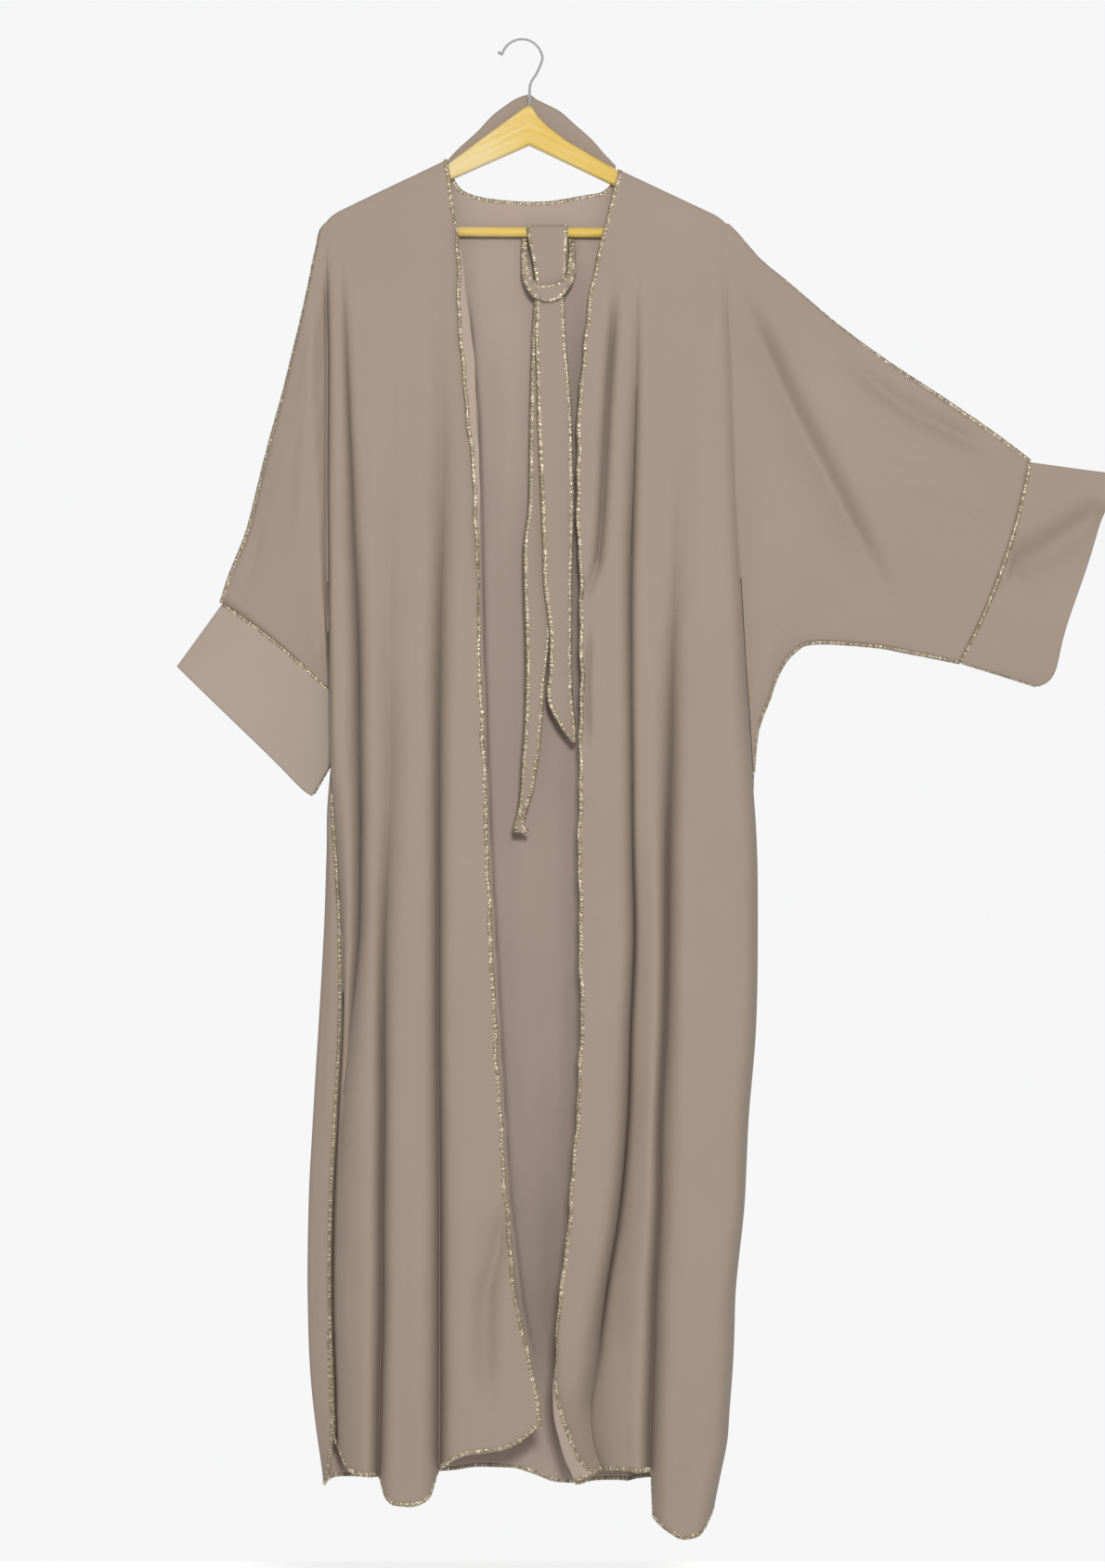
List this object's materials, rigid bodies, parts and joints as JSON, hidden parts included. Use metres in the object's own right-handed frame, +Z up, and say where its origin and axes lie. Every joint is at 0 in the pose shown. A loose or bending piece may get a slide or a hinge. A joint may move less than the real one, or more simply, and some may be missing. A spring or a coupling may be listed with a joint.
{
  "type": "open-front abaya cloak with belt on a wooden hanger",
  "caption": "Long open-front abaya cloak with wide dolman sleeves, straight cuffs, gold overlocked edges and a loose belt, hanging on a wooden trouser hanger.",
  "frame": {"origin": "the point inside the hanger's hook where it rests on a rail, in the hanger's middle plane", "axes": "+Z up, the cloak's front faces -Y, +X to the wearer's left"},
  "size_m": [1.0477, 0.0937, 1.6592],
  "materials": {
    "cloth": "matt taupe crepe, edges overlocked in gold thread",
    "wood": "clear varnish",
    "steel": "bright plated"
  },
  "bodies": {
    "root": {"back": "cloth", "front_right": "cloth", "front_left": "cloth", "cuff_right": "cloth", "cuff_left": "cloth", "belt_over_bar": "cloth", "belt_bight": "cloth", "belt_tail_short": "cloth", "belt_tail_long": "cloth", "hanging_strap": "cloth", "hanger_wood": "wood", "hanger_bar": "wood", "hanger_hook": "steel"}
  },
  "joints": []
}
